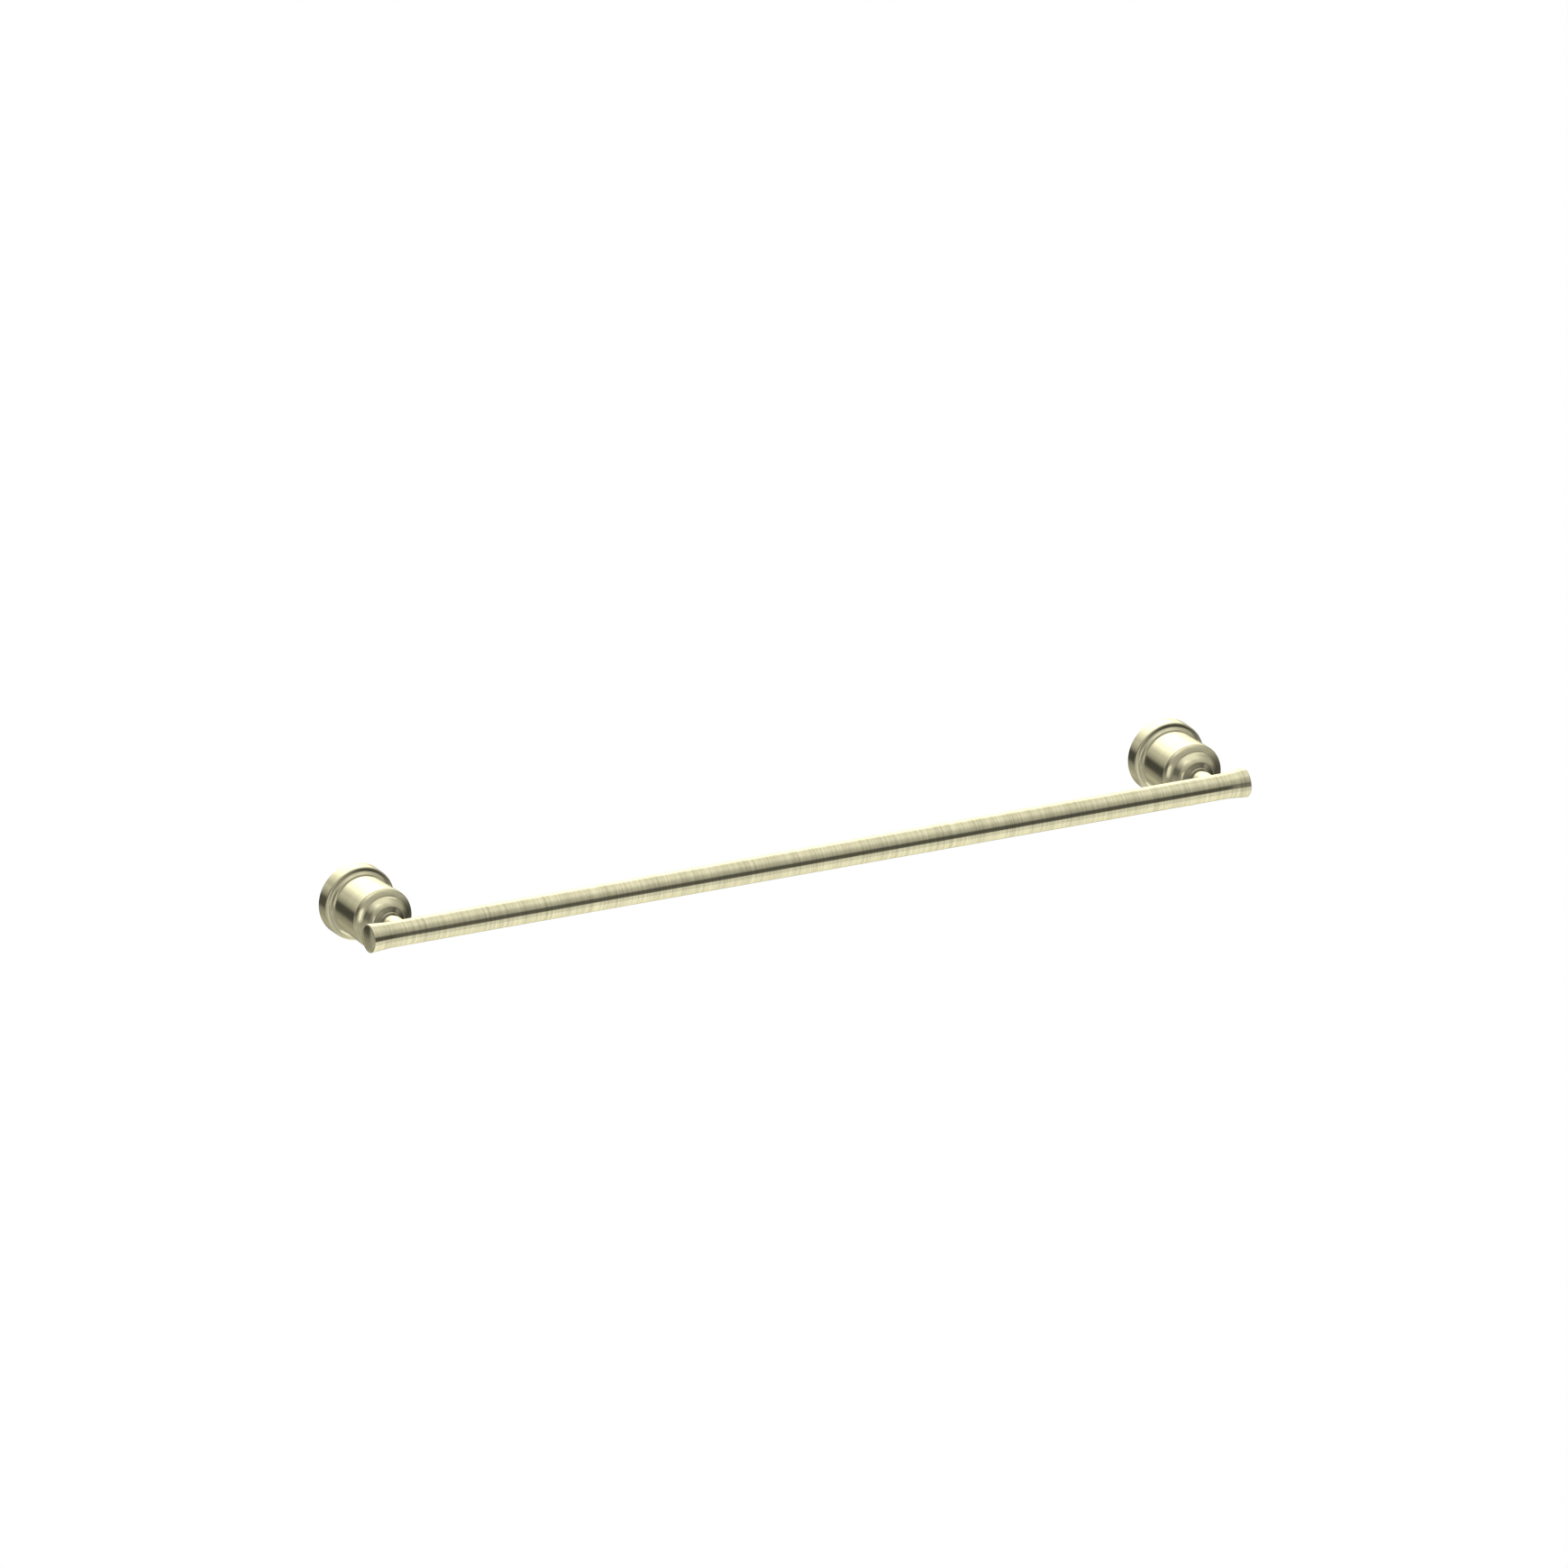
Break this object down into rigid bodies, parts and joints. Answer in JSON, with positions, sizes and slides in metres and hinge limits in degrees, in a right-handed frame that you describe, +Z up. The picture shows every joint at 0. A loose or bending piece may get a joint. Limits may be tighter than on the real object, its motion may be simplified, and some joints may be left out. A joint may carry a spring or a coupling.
{
  "type": "towel rail",
  "caption": "Wall-mounted towel rail: a round bar with flared, capped ends, carried in front of two stepped bell-shaped posts on round flanges, in brushed nickel.",
  "frame": {"origin": "on the wall plane, midway between the two posts, at the height of the post axes", "axes": "+X along the bar, +Y into the wall, +Z up"},
  "size_m": [0.6618, 0.0824, 0.052],
  "materials": {
    "brushed_nickel": "warm brushed nickel plate, brushed round each axis",
    "cast_zinc": "bare die-cast zinc, dull",
    "plated_steel": "bright zinc-plated steel",
    "brass_slug": "machined brass"
  },
  "bodies": {
    "root": {"bar_tube": "brushed_nickel", "post_left": "brushed_nickel", "post_right": "brushed_nickel", "end_cap_left": "brushed_nickel", "end_cap_right": "brushed_nickel", "wall_bracket_left": "cast_zinc", "wall_bracket_right": "cast_zinc", "set_screw_left": "plated_steel", "set_screw_right": "plated_steel", "lock_washer_left": "plated_steel", "lock_washer_right": "plated_steel", "bar_screw_left": "plated_steel", "bar_screw_right": "plated_steel", "bar_nut_left": "brass_slug", "bar_nut_right": "brass_slug"}
  },
  "joints": []
}
